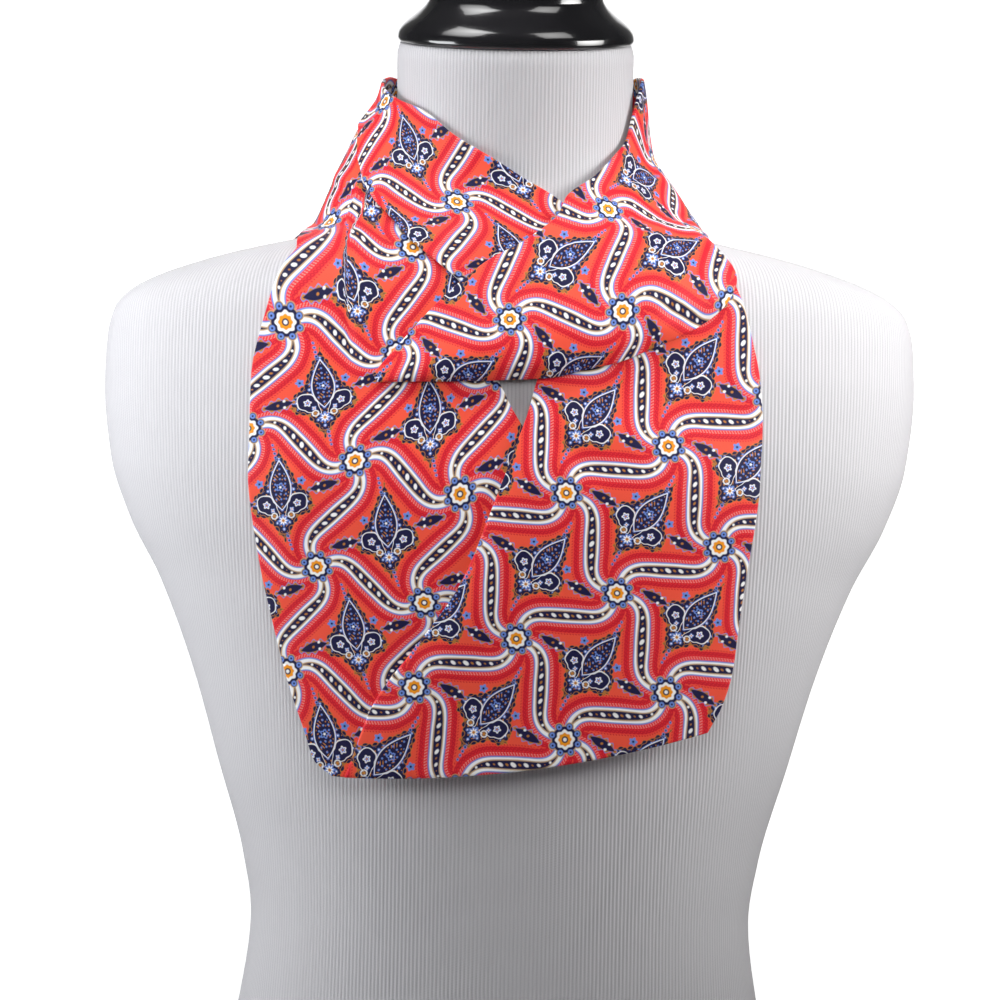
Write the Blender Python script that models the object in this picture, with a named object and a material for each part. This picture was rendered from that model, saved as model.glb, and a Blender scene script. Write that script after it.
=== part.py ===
"""Infinity scarf, wound twice round the neck of a limbless dress form.

The scarf is one endless flat tube of printed cloth. Its upper turn lies round the neck and its
lower turn hangs on the chest, where it folds back on itself at the hem. Every stretch is a thin
wall laid over one draped surface, each layer outside the last.
Plus Z is up, the form faces minus Y, and the origin is the middle of the form's flat base.
"""

import math

import bmesh
import bpy
import numpy as np

# Lengths are in millimetres, and become metres when a mesh is made.
METRES = 0.001

CLOTH_WALL = 2.0
SEAM_GAP = 0.4

# Height of a layer's inner face over the drape: on the form, on one layer of cloth, on two.
ON_FORM = 0.0
ON_ONE = 2.7
ON_TWO = 5.4
# Where two layers change places at the side of the neck, both pass through this height.
PASSING = 1.35

# The cloth lies this far above and outside the form.
REST_ABOVE = 1.4
REST_OUTSIDE = 1.0
# Where the scarf leaves the form, the two surfaces blend while they are nearer than this.
BLEND = 12.0

# The cut between the stretches at each side of the neck, in degrees from the front.
SIDE_CUT = 97.0

NECK_TOP = 673.5
NECK_TILT = 7.0
NECK_TILT_START = 600.0
NECK_LEAN = 10.0
CAP_GAP = 0.3

FORM_COLUMNS = 48
CAP_COLUMNS = 40

FORM_RINGS = [
    # height, half_width, front_depth, back_depth, forward, squareness
    (0.0, 157.0, 90.0, 108.0, 0.0, 2.35),
    (6.0, 161.0, 94.0, 112.0, 0.0, 2.35),
    (60.0, 163.0, 97.0, 117.0, 0.0, 2.35),
    (120.0, 152.0, 98.0, 108.0, 0.0, 2.3),
    (180.0, 134.0, 100.0, 93.0, 0.0, 2.25),
    (221.0, 129.2, 102.0, 87.0, 0.0, 2.25),
    (252.0, 133.8, 103.0, 86.0, 0.0, 2.25),
    (300.0, 147.6, 106.0, 89.0, 0.0, 2.3),
    (347.0, 161.4, 111.0, 95.0, 0.0, 2.35),
    (393.0, 179.0, 115.0, 101.0, 0.0, 2.4),
    (425.0, 195.6, 115.5, 103.5, 0.0, 2.4),
    (456.0, 206.0, 113.5, 104.5, 0.0, 2.4),
    (495.0, 210.0, 106.0, 103.0, 0.0, 2.4),
    (519.0, 209.0, 99.0, 99.5, 0.0, 2.35),
    (534.0, 205.3, 94.0, 96.5, 0.0, 2.3),
    (543.0, 197.0, 90.5, 94.0, 0.0, 2.25),
    (550.0, 184.0, 87.5, 92.0, 0.0, 2.2),
    (558.5, 160.5, 83.0, 89.0, 0.0, 2.1),
    (564.5, 139.0, 80.0, 86.5, 0.0, 2.05),
    (569.5, 116.5, 77.0, 84.5, 0.0, 2.0),
    (575.0, 94.0, 73.5, 82.0, 0.0, 2.0),
    (588.0, 74.0, 66.5, 76.0, 1.0, 2.0),
    (602.0, 65.5, 62.5, 70.0, 2.5, 2.0),
    (622.0, 61.0, 61.0, 62.5, 5.0, 2.0),
    (650.0, 60.6, 60.6, 60.6, 8.0, 2.0),
    (668.0, 60.6, 60.6, 60.6, 9.6, 2.0),
    (673.5, 59.0, 59.0, 59.0, 10.0, 2.0),
]
# Heights between the rows above, so that the shoulders and the neck stay round.
FORM_EXTRA_HEIGHTS = (30.0, 90.0, 150.0, 276.0, 324.0, 370.0, 475.0, 567.0, 572.0, 581.0, 595.0, 611.0, 636.0)

DRAPE_RINGS = [
    # height, left, right, front_depth, back_depth, forward, squareness
    (290.0, 185.0, 185.0, 118.5, 96.0, 0.0, 2.4),
    (400.0, 195.0, 195.0, 118.5, 100.0, 0.0, 2.4),
    (440.0, 200.0, 200.0, 117.5, 103.0, 0.0, 2.4),
    (480.0, 180.0, 180.0, 108.0, 104.0, 0.0, 2.3),
    (520.0, 130.0, 128.0, 97.0, 103.0, 0.0, 2.1),
    (550.0, 112.0, 110.0, 86.0, 100.0, 0.0, 2.0),
    (570.0, 104.0, 98.0, 76.0, 94.0, 0.0, 2.0),
    (585.0, 97.3, 87.3, 68.0, 87.0, 0.0, 2.0),
    (599.0, 91.5, 77.5, 62.0, 78.0, -3.0, 2.0),
    (615.0, 84.5, 67.0, 59.0, 69.0, -6.0, 2.0),
    (630.0, 77.0, 65.0, 57.0, 63.0, -9.0, 2.0),
    (645.0, 67.0, 64.0, 55.0, 59.0, -10.0, 2.0),
    (662.0, 62.0, 61.0, 54.0, 58.0, -10.0, 2.0),
]

CAP_PROFILE = [
    # radius, height above the neck
    (60.2, 0.0),
    (61.6, 3.2),
    (61.5, 7.6),
    (59.6, 11.6),
    (55.2, 15.2),
    (50.2, 18.6),
    (46.4, 22.4),
    (45.2, 25.2),
    (46.2, 27.4),
    (45.0, 30.6),
    (40.5, 34.4),
    (32.0, 38.0),
    (20.0, 40.6),
    (8.0, 41.8),
]


def smooth_rows(keys, values, at):
    """Columns of a table at the keys asked for, on smooth curves that never overshoot its rows."""
    keys = np.asarray(keys, float)
    values = np.asarray(values, float)
    step = np.diff(keys)[:, None]
    rise = np.diff(values, axis=0) / step
    slope = np.zeros_like(values)
    slope[0] = rise[0]
    slope[-1] = rise[-1]
    before = rise[:-1]
    after = rise[1:]
    same_way = before * after > 0
    total = np.where(same_way, before + after, 1.0)
    slope[1:-1] = np.where(same_way, 2.0 * before * after / total, 0.0)
    at = np.clip(np.asarray(at, float), keys[0], keys[-1])
    row = np.clip(np.searchsorted(keys, at, side="right") - 1, 0, len(keys) - 2)
    width = step[row]
    share = ((at - keys[row])[..., None]) / width
    rest = 1.0 - share
    start = values[row] * (1.0 + 2.0 * share) + slope[row] * width * share
    end = values[row + 1] * (1.0 + 2.0 * rest) - slope[row + 1] * width * rest
    return start * rest ** 2 + end * share ** 2


def ring_radius(turn, left, right, front, back, forward, squareness):
    """Distance from the axis to a squarish oval. A turn of 0 faces the viewer and 90 degrees is +X."""
    across = np.sin(turn)
    ahead = np.cos(turn)
    side = np.where(across > 0, right, left)
    depth = np.where(ahead > 0, front, back)
    total = np.abs(across / side) ** squareness + np.abs(ahead / depth) ** squareness
    return total ** (-1.0 / squareness) + forward * ahead


def form_radius(turn, height):
    """Radius of the dress form."""
    heights = [row[0] for row in FORM_RINGS]
    sizes = smooth_rows(heights, [row[1:] for row in FORM_RINGS], height)
    half_width, front_depth, back_depth, forward, squareness = np.moveaxis(sizes, -1, 0)
    return ring_radius(turn, half_width, half_width, front_depth, back_depth, forward, squareness)


def drape_radius(turn, height):
    """Radius of the draped surface: the form just outside its skin, or the cloth's own sweep if larger."""
    heights = [row[0] for row in DRAPE_RINGS]
    sizes = smooth_rows(heights, [row[1:] for row in DRAPE_RINGS], height)
    sweep = ring_radius(turn, *np.moveaxis(sizes, -1, 0))
    skin = form_radius(turn, height - REST_ABOVE) + REST_OUTSIDE
    near = np.maximum(BLEND - np.abs(sweep - skin), 0.0)
    return np.maximum(sweep, skin) + near ** 2 / (4.0 * BLEND)


def drape_point(turn, height):
    """Point of the draped surface."""
    radius = drape_radius(turn, height)
    return np.stack([radius * np.sin(turn), -radius * np.cos(turn), height], axis=-1)


def drape_normal(turn, height):
    """Direction straight out of the draped surface."""
    small = 0.01
    along = drape_point(turn + small, height) - drape_point(turn - small, height)
    up = drape_point(turn, height + 1.0) - drape_point(turn, height - 1.0)
    normal = np.cross(along, up)
    return normal / np.linalg.norm(normal, axis=-1, keepdims=True)


def settle_on_drape(points):
    """Turn and height of the places on the draped surface that lie nearest to these points."""
    for _ in range(8):
        turn = np.arctan2(points[..., 0], -points[..., 1])
        height = points[..., 2]
        normal = drape_normal(turn, height)
        away = np.sum((drape_point(turn, height) - points) * normal, axis=-1, keepdims=True)
        points = points + away * normal
    return np.arctan2(points[..., 0], -points[..., 1]), points[..., 2]


def front(across, height):
    """Turn and height of the drape's point that is seen at this place from the front."""
    low = math.radians(-92.0)
    high = math.radians(92.0)
    for _ in range(40):
        middle = (low + high) / 2.0
        if drape_radius(middle, height) * math.sin(middle) < across:
            low = middle
        else:
            high = middle
    return (low, height)


def side(degrees, height):
    """Turn and height of a point that is given by its turn, for the sides and the back."""
    return (math.radians(degrees), height)


# Swell across the cloth, as (share of the width from the neck edge, share of the swell).
CROWN = [(0.0, 0.0), (0.5, 1.0), (1.0, 0.0)]
# A soft roll, fullest near its outer edge, which turns under.
ROLL = [(0.0, 0.0), (0.35, 0.45), (0.75, 1.0), (0.92, 0.7), (1.0, 0.0)]
# The pleat at the left: the inner lobe is folded a little over the outer one.
PLEAT = [(0.0, 0.0), (0.3, 0.1), (0.46, 1.0), (0.56, 0.1), (1.0, 0.0)]
# A folded edge that stands up softly from the cloth below it.
FOLD_EDGE = [(0.0, 0.0), (0.12, 1.0), (0.3, 0.3), (1.0, 0.0)]

# Each row is one section across the cloth, from its neck edge to its outer edge:
# neck_edge, middle, outer_edge, neck_lift, outer_lift, swell (how far the middle puffs out)
STRETCHES = {
    "upper_left_stretch": {
        "columns": 14,
        "across": 8,
        "swell_shape": CROWN,
        "sections": [
            (side(-SIDE_CUT, 655), side(-SIDE_CUT, 643), side(-SIDE_CUT, 631), PASSING, PASSING, 0.0),
            (side(-84, 650), side(-84, 638), side(-84, 626), PASSING, ON_ONE, 0.0),
            (front(-58, 641.5), front(-70, 626), front(-77, 608), 0.6, ON_ONE, 1.5),
            (front(-46, 635.5), front(-61, 614), front(-72, 592), 0.6, 3.3, 1.6),
            (front(-28, 621), front(-46, 600), front(-61.5, 578), 0.6, 3.4, 1.8),
            (front(-9, 609.5), front(-29, 586), front(-46, 561), 0.6, 3.2, 1.8),
            (front(7, 599), front(-13, 574), front(-33, 551), 0.6, ON_ONE, 1.5),
            (front(20, 591), front(-1, 566), front(-23, 543), 0.6, ON_ONE, 0.6),
            (front(36, 579), front(11, 556), front(-14, 534), 0.6, ON_ONE, 0.3),
        ],
    },
    "upper_right_stretch": {
        "columns": 28,
        "across": 11,
        "swell_shape": ROLL,
        "sections": [
            (front(-68, 497.5), front(-67, 495.5), front(-65.5, 493.5), 3.2, 3.2, 0.0),
            (front(-55, 513), front(-50, 503), front(-46, 494), 3.4, 3.4, 3.0),
            (front(-34, 536), front(-28, 515), front(-24, 494.5), 4.6, 3.6, 6.0),
            (front(-13, 553.5), front(-6, 525), front(-2, 495.5), 5.4, 3.8, 8.0),
            (front(7, 565.5), front(15, 531), front(20, 497), 5.4, 3.8, 9.0),
            (front(21.5, 578), front(33, 540), front(40, 502), 5.2, 3.8, 9.5),
            (front(26, 589.5), front(43, 547), front(53, 505), 4.2, 3.6, 9.5),
            (front(38, 600.5), front(60, 556), front(70, 512.5), 2.6, 3.2, 9.0),
            (front(50, 614), front(70, 566), front(86, 520), 1.0, ON_ONE, 7.5),
            (front(56.5, 623), front(71, 573), front(95, 525.5), 0.4, ON_ONE, 5.5),
            (side(67, 637), side(56, 582), front(104, 532), 0.3, 2.9, 3.6),
            (side(73, 646.5), side(62.5, 590), front(112.5, 545), 0.3, 3.2, 2.8),
            (side(81, 653.5), side(71, 603), front(101.5, 566.5), 0.3, 1.4, 3.0),
            (side(89, 656.5), side(84, 614), side(81, 575), 0.3, 0.6, 3.5),
            (side(SIDE_CUT, 658), side(SIDE_CUT, 618), side(SIDE_CUT, 577), 0.3, 0.9, 3.3),
        ],
    },
    "lower_left_stretch": {
        "columns": 24,
        "across": 15,
        "swell_shape": PLEAT,
        "sections": [
            (side(-SIDE_CUT, 629), side(-SIDE_CUT, 602), side(-SIDE_CUT, 574.5), PASSING, PASSING, 0.0),
            (side(-84, 624), side(-84, 599), side(-84, 573.5), 0.3, 0.6, 1.0),
            (side(-69, 614), front(-79, 592), front(-109, 568.5), ON_FORM, 0.5, 2.0),
            (front(-59, 606), front(-82, 580), front(-110, 560), ON_FORM, 0.3, 3.2),
            (front(-38, 585), front(-85, 560), front(-122.5, 533), ON_FORM, 0.2, 4.5),
            (front(-17, 560), front(-83, 533), front(-129, 505), ON_FORM, ON_FORM, 3.0),
            (front(-16, 522), front(-76, 502), front(-130, 482), ON_FORM, ON_FORM, 1.0),
            (front(-1, 487), front(-66, 470), front(-130, 456), ON_FORM, ON_FORM, 0.3),
            (front(13, 457), front(-60, 441), front(-128, 429), ON_FORM, ON_FORM, 0.0),
            (front(4, 420), front(-62, 409), front(-123, 402), ON_FORM, ON_FORM, 0.0),
            (front(-14, 383), front(-68, 376), front(-116, 373), ON_FORM, ON_FORM, 0.0),
            (front(-38, 349), front(-75, 344), front(-108, 344), ON_FORM, ON_FORM, 0.0),
            (front(-53, 321), front(-78, 318), front(-99, 319), ON_FORM, ON_FORM, 0.0),
            (front(-61, 305), front(-79, 303), front(-94, 305), ON_FORM, ON_FORM, 0.0),
            (front(-64, 298), front(-75, 297), front(-85, 297.5), ON_FORM, ON_FORM, 0.0),
        ],
    },
    "lower_right_stretch": {
        "columns": 24,
        "across": 14,
        "swell_shape": FOLD_EDGE,
        "sections": [
            (side(SIDE_CUT, 606), side(SIDE_CUT, 597), side(SIDE_CUT, 588), ON_FORM, ON_FORM, 0.0),
            (side(85, 603), side(84, 595), side(83, 587), ON_FORM, ON_FORM, 0.0),
            (side(72, 590), side(71.5, 585), side(71, 580), ON_FORM, ON_FORM, 0.0),
            (front(72, 572), front(86, 567), front(100, 562.5), ON_FORM, ON_FORM, 0.0),
            (front(66, 546), front(93, 538), front(119, 530), ON_FORM, ON_FORM, 0.0),
            (front(44, 524), front(86, 514), front(125, 503), ON_FORM, ON_FORM, 0.0),
            (front(19, 510), front(75, 493), front(127, 475), ON_FORM, ON_FORM, 0.0),
            (front(8, 476), front(67, 464), front(125.5, 451), ON_ONE, 1.6, 1.5),
            (front(-6, 437), front(54, 425), front(121.5, 418), ON_ONE, ON_ONE, 2.0),
            (front(-22, 396), front(42, 385), front(117, 388), ON_ONE, ON_ONE, 2.0),
            (front(-45, 362), front(30, 352), front(113, 354), ON_ONE, ON_ONE, 1.5),
            (front(-64, 335), front(20, 325), front(108, 336), ON_ONE, ON_ONE, 1.0),
            (front(-78, 297), front(12, 302.5), front(101, 322.5), ON_ONE, ON_ONE, 0.0),
        ],
    },
    "back_under_stretch": {
        "columns": 26,
        "across": 8,
        "swell_shape": CROWN,
        "sections": [
            (side(SIDE_CUT, 606), side(SIDE_CUT, 597), side(SIDE_CUT, 588), ON_FORM, ON_FORM, 0.0),
            (side(116, 608), side(116, 589), side(116, 569), ON_FORM, ON_FORM, 0.0),
            (side(140, 617), side(140, 582), side(140, 547), ON_FORM, ON_FORM, 0.0),
            (side(165, 632), side(165, 590), side(165, 546), ON_FORM, ON_FORM, 0.0),
            (side(190, 644), side(190, 604), side(190, 564), ON_FORM, ON_FORM, 0.0),
            (side(215, 652), side(215, 620), side(215, 588), ON_FORM, ON_FORM, 0.0),
            (side(238, 656), side(238, 636), side(238, 616), ON_FORM, ON_FORM, 0.0),
            (side(252, 657), side(252, 644), side(252, 631), 0.4, 0.4, 0.0),
            (side(360 - SIDE_CUT, 655), side(360 - SIDE_CUT, 643), side(360 - SIDE_CUT, 631), PASSING, PASSING, 0.0),
        ],
    },
    "back_over_stretch": {
        "columns": 28,
        "across": 12,
        "swell_shape": ROLL,
        "sections": [
            (side(SIDE_CUT, 658), side(SIDE_CUT, 618), side(SIDE_CUT, 577), 0.3, 0.9, 3.3),
            (side(108, 659), side(108, 616), side(108, 573), 1.2, 2.3, 3.2),
            (side(135, 656), side(135, 604), side(135, 556), ON_ONE, ON_ONE, 3.0),
            (side(160, 651), side(160, 594), side(160, 541), ON_ONE, ON_ONE, 3.0),
            (side(185, 646), side(185, 589), side(185, 534), ON_ONE, ON_ONE, 3.0),
            (side(210, 640), side(210, 588), side(210, 537), ON_ONE, ON_ONE, 3.0),
            (side(232, 634), side(232, 592), side(232, 550), ON_ONE, ON_ONE, 2.5),
            (side(250, 629), side(250, 598), side(250, 568), 2.5, 2.5, 1.5),
            (side(360 - SIDE_CUT, 629), side(360 - SIDE_CUT, 602), side(360 - SIDE_CUT, 574.5), PASSING, PASSING, 0.0),
        ],
    },
}

def stretch_grid(columns, across, swell_shape, sections):
    """Turn, height and lift of the cloth's inner face, on a grid of sections along by points across."""
    knots = np.array([section[0] + section[1] + section[2] + section[3:] for section in sections])
    middles = drape_point(knots[:, 2], knots[:, 3])
    run = np.concatenate([[0.0], np.cumsum(np.linalg.norm(np.diff(middles, axis=0), axis=1))])
    rows = smooth_rows(run, knots, np.linspace(0.0, run[-1], columns + 1))
    share = np.linspace(0.0, 1.0, across + 1)
    weights = np.stack([(2 * share - 1) * (share - 1), 4 * share * (1 - share), share * (2 * share - 1)])
    marks = drape_point(rows[:, 0:6:2], rows[:, 1:6:2])
    turn, height = settle_on_drape(np.einsum("cmk,ms->csk", marks, weights))
    neck_lift, outer_lift, swell = rows[:, 6:7], rows[:, 7:8], rows[:, 8:9]
    shape = smooth_rows([row[0] for row in swell_shape], [row[1:] for row in swell_shape], share)[:, 0]
    lift = neck_lift + (outer_lift - neck_lift) * share + swell * shape
    return turn, height, lift


def trim_for_seams(turn, height, sections):
    """Draw the grid's ends back by half the seam gap where the cloth is cut at the side."""
    for end, beside in ((0, 1), (-1, -2)):
        if abs(abs(math.degrees(math.remainder(sections[end][0][0], math.tau))) - SIDE_CUT) < 0.01:
            radius = drape_radius(turn[end], height[end])
            turn[end] += np.sign(turn[beside] - turn[end]) * SEAM_GAP / 2.0 / radius
    return turn


def add_object(name, vertices, faces, material):
    """One closed body, with its faces turned outwards."""
    mesh = bpy.data.meshes.new(name)
    mesh.from_pydata([tuple(point) for point in np.asarray(vertices) * METRES], [], faces)
    work = bmesh.new()
    work.from_mesh(mesh)
    bmesh.ops.recalc_face_normals(work, faces=work.faces)
    work.to_mesh(mesh)
    work.free()
    mesh.shade_smooth()
    mesh.set_sharp_from_angle(angle=math.radians(50))
    mesh.materials.append(material)
    thing = bpy.data.objects.new(name, mesh)
    bpy.context.scene.collection.objects.link(thing)
    return thing


def plain_material(name, colour, roughness):
    """A plain surface of one colour."""
    material = bpy.data.materials.new(name)
    material.use_nodes = True
    shader = material.node_tree.nodes["Principled BSDF"]
    shader.inputs["Base Color"].default_value = (*colour, 1.0)
    shader.inputs["Roughness"].default_value = roughness
    shader.inputs["Metallic"].default_value = 0.0
    material.diffuse_color = (*colour, 1.0)
    return material


def make_stretch(name, columns, across, swell_shape, sections, colour):
    """A stretch of the flat cloth tube: an inner face, the same points moved out, and closed borders."""
    turn, height, lift = stretch_grid(columns, across, swell_shape, sections)
    turn = trim_for_seams(turn, height, sections)
    rest = drape_point(turn, height)
    normal = drape_normal(turn, height)
    inner = (rest + lift[..., None] * normal).reshape(-1, 3)
    outer = (rest + (lift + CLOTH_WALL)[..., None] * normal).reshape(-1, 3)
    width = across + 1
    count = (columns + 1) * width
    faces = []
    for column in range(columns):
        for row in range(across):
            corner = column * width + row
            quad = (corner, corner + 1, corner + width + 1, corner + width)
            faces.append(quad)
            faces.append(tuple(count + index for index in reversed(quad)))
    border = list(range(width))
    border += [column * width + across for column in range(1, columns + 1)]
    border += [columns * width + row for row in reversed(range(across))]
    border += [column * width for column in reversed(range(1, columns))]
    for here, there in zip(border, border[1:] + border[:1]):
        faces.append((there, here, count + here, count + there))
    return add_object(name, np.concatenate([inner, outer]), faces, plain_material(name, colour, 0.6))


def turned_faces(rings, columns):
    """Faces of a stack of rings, closed at the bottom and at the top."""
    faces = [tuple(range(columns))]
    for ring in range(rings - 1):
        for column in range(columns):
            after = (column + 1) % columns
            below = ring * columns
            above = below + columns
            faces.append((below + column, below + after, above + after, above + column))
    faces.append(tuple(range((rings - 1) * columns, rings * columns)))
    return faces


def make_form():
    """The torso and neck in one body, flat at the base, with the neck's top sloping to the front."""
    heights = sorted([row[0] for row in FORM_RINGS] + list(FORM_EXTRA_HEIGHTS))
    turns = np.linspace(0.0, math.tau, FORM_COLUMNS, endpoint=False)
    turn, height = np.meshgrid(turns, heights)
    radius = form_radius(turn, height)
    depth = -radius * np.cos(turn)
    up_the_neck = np.clip((height - NECK_TILT_START) / (NECK_TOP - NECK_TILT_START), 0.0, 1.0)
    slope = math.tan(math.radians(NECK_TILT)) * up_the_neck
    points = np.stack([radius * np.sin(turn), depth, height + slope * (depth + NECK_LEAN)], axis=-1)
    faces = turned_faces(len(heights), FORM_COLUMNS)
    return add_object("form_torso", points.reshape(-1, 3), faces, plain_material("knit_cover", (0.6, 0.6, 0.63), 0.9))


def make_cap():
    """The turned and lacquered wooden cap that closes the neck."""
    turns = np.linspace(0.0, math.tau, CAP_COLUMNS, endpoint=False)
    radius, height = np.array(CAP_PROFILE).T
    rings = [radius[:, None] * np.sin(turns), -radius[:, None] * np.cos(turns), height[:, None] + 0.0 * turns]
    faces = turned_faces(len(CAP_PROFILE), CAP_COLUMNS)
    points = np.stack(rings, axis=-1).reshape(-1, 3)
    cap = add_object("neck_cap", points, faces, plain_material("black_lacquer", (0.01, 0.01, 0.012), 0.12))
    cap.location = (0.0, -NECK_LEAN * METRES, (NECK_TOP + CAP_GAP) * METRES)
    cap.rotation_euler = (math.radians(NECK_TILT), 0.0, 0.0)
    return cap


STRETCH_COLOURS = {
    "upper_left_stretch": (0.72, 0.10, 0.06),
    "upper_right_stretch": (0.80, 0.12, 0.07),
    "lower_left_stretch": (0.66, 0.07, 0.07),
    "lower_right_stretch": (0.78, 0.14, 0.09),
    "back_under_stretch": (0.60, 0.07, 0.06),
    "back_over_stretch": (0.74, 0.12, 0.09),
}

for leftover in list(bpy.data.objects):
    bpy.data.objects.remove(leftover)
make_form()
make_cap()
for stretch_name, stretch in STRETCHES.items():
    make_stretch(stretch_name, colour=STRETCH_COLOURS[stretch_name], **stretch)
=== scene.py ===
"""An infinity scarf wound twice round the neck of a limbless dress form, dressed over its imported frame.

The file follows the object as it is put together: the studio, the padded form and its knit cover, the
turned cap on its neck, the way the cloth lies, the printed cloth, and then the scarf from its upper turn
to its hem. Sizes are in millimetres and become metres when a mesh is made.

A ring of the form is the squarish oval (x / half width) ^ n + (y / depth) ^ n = 1, moved a little forward.
The draped surface is the larger of the form's skin and the cloth's own sweep, blended where they meet.
Each stretch of cloth is a grid of sections along by points across, settled on the draped surface and
raised from it by its lift, which is the height of a layer, plus a swell, plus the soft creases.
"""

import math

import bpy
import numpy as np
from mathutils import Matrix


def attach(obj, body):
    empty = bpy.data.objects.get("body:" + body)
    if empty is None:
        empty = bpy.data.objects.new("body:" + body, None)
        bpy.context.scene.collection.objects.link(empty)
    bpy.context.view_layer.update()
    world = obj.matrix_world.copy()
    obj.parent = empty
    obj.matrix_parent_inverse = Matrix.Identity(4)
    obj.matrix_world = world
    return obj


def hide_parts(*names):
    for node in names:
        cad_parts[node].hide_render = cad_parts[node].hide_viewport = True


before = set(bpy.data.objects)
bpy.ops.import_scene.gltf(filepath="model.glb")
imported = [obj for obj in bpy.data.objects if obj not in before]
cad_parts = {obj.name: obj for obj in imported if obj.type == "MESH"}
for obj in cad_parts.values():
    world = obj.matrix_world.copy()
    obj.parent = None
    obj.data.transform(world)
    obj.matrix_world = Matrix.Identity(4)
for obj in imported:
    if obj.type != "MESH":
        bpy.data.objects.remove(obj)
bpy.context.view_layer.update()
scene = bpy.context.scene

# The studio: a pale floor that curves up into a plain wall, and soft lights near the shoulders, at the
# sides and behind, so the shoulders are bright and the middle of the form below them is darker.
# The camera stands level at chest height and is turned a little about its own axis.
MM = 0.001
CAMERA_PLACE = (-3.8, -2800.0, 436.8)
CAMERA_ROLL = 1.07
VIEW_WIDTH = 520.0
SENSOR = 36.0
SKY_ON_FORM = 0.03
PALE_SEEN = 0.85
SWEEP_FRONT = -4500.0
SWEEP_CURVE = 1200.0
SWEEP_WALL = 5500.0
SWEEP_TOP = 5000.0
SWEEP_HALF = 6000.0
SWEEP_STEPS = 25
GLOW_BEHIND = 1.0
GLOW_FULL_BEHIND = 1.7
GLOW_FULL_BESIDE = 1.2
GLOW_BESIDE = 2.0
SOFT_LIGHTS = [
    # name, place in metres, height aimed at, size, spread in degrees, power, colour
    ("left_light", (-0.7, -0.2, 0.5), 0.55, 0.4, 150.0, 3.1, (0.96, 0.98, 1.0)),
    ("left_high_light", (-0.4, -0.2, 1.2), 0.3, 0.4, 60.0, 0.42, (1.0, 1.0, 1.0)),
    ("right_light", (0.7, -0.2, 0.7), 0.45, 0.4, 60.0, 0.98, (1.0, 0.99, 0.98)),
    ("front_light", (0.0, -0.9, 0.7), 0.5, 0.4, 60.0, 0.36, (1.0, 1.0, 1.0)),
    ("right_high_light", (0.3, -0.3, 1.2), 0.55, 0.3, 60.0, 0.13, (1.0, 0.99, 0.98)),
    ("overhead_light", (0.0, -0.2, 1.2), 0.55, 0.4, 60.0, 0.38, (1.0, 1.0, 1.0)),
    ("back_light", (0.0, 1.6, 1.3), 0.42, 1.4, 120.0, 2.0, (1.0, 1.0, 1.0)),
]

scene.view_settings.view_transform = "Standard"
camera = bpy.data.objects.new("camera", bpy.data.cameras.new("camera"))
scene.collection.objects.link(camera)
scene.camera = camera
camera.data.lens = SENSOR * -CAMERA_PLACE[1] / VIEW_WIDTH
camera.data.sensor_width = SENSOR
camera.data.clip_end = 50.0
camera.location = [value * MM for value in CAMERA_PLACE]
camera.rotation_euler = (math.radians(90.0), math.radians(-CAMERA_ROLL), 0.0)
for light_name, place, aim, size, spread, power, colour in SOFT_LIGHTS:
    lamp = bpy.data.lights.new(light_name, "AREA")
    lamp.size = size
    lamp.spread = math.radians(spread)
    lamp.energy = power
    lamp.color = colour
    light = bpy.data.objects.new(light_name, lamp)
    scene.collection.objects.link(light)
    light.location = place
    ahead = np.array([0.0, 0.0, aim]) - np.array(place)
    turn = math.atan2(-ahead[0], ahead[1])
    light.rotation_euler = (math.acos(-ahead[2] / np.linalg.norm(ahead)), 0.0, turn)
    # Only the lights at the two sides show as highlights in the lacquer.
    light.visible_glossy = place[0] != 0.0


def grid_faces(rows, columns, closed=False):
    """Quads of a grid of points, row by row. A closed grid joins its last column to its first."""
    row, column = np.mgrid[:rows - 1, :columns if closed else columns - 1]
    here = row * columns + column
    beside = row * columns + (column + 1) % columns
    return np.stack([here, beside, beside + columns, here + columns], axis=-1).reshape(-1, 4)


def make_piece(name, points, faces, material, places=None):
    """A smooth mesh from points in millimetres, with a flat place (u, v) for each point if given."""
    mesh = bpy.data.meshes.new(name)
    mesh.from_pydata((np.asarray(points) * MM).tolist(), [], [list(face) for face in faces])
    mesh.shade_smooth()
    if places is not None:
        corner = np.empty(len(mesh.loops), dtype=np.int32)
        mesh.loops.foreach_get("vertex_index", corner)
        layer = mesh.uv_layers.new(name="cloth")
        layer.data.foreach_set("uv", np.asarray(places, dtype=np.float32)[corner].ravel())
    mesh.materials.append(material)
    mesh.update()
    piece = bpy.data.objects.new(name, mesh)
    scene.collection.objects.link(piece)
    return piece


def add_node(tree, kind, **inputs):
    """A node, with some of its numbers set."""
    node = tree.nodes.new(kind)
    for key, value in inputs.items():
        node.inputs[key.replace("_", " ")].default_value = value
    return node


def new_material(name, **inputs):
    """A material with its tree of nodes and its shader, with some of the shader's numbers set."""
    material = bpy.data.materials.new(name)
    material.use_nodes = True
    shader = material.node_tree.nodes["Principled BSDF"]
    for key, value in inputs.items():
        shader.inputs[key.replace("_", " ")].default_value = value
    return material, material.node_tree, shader


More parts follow.
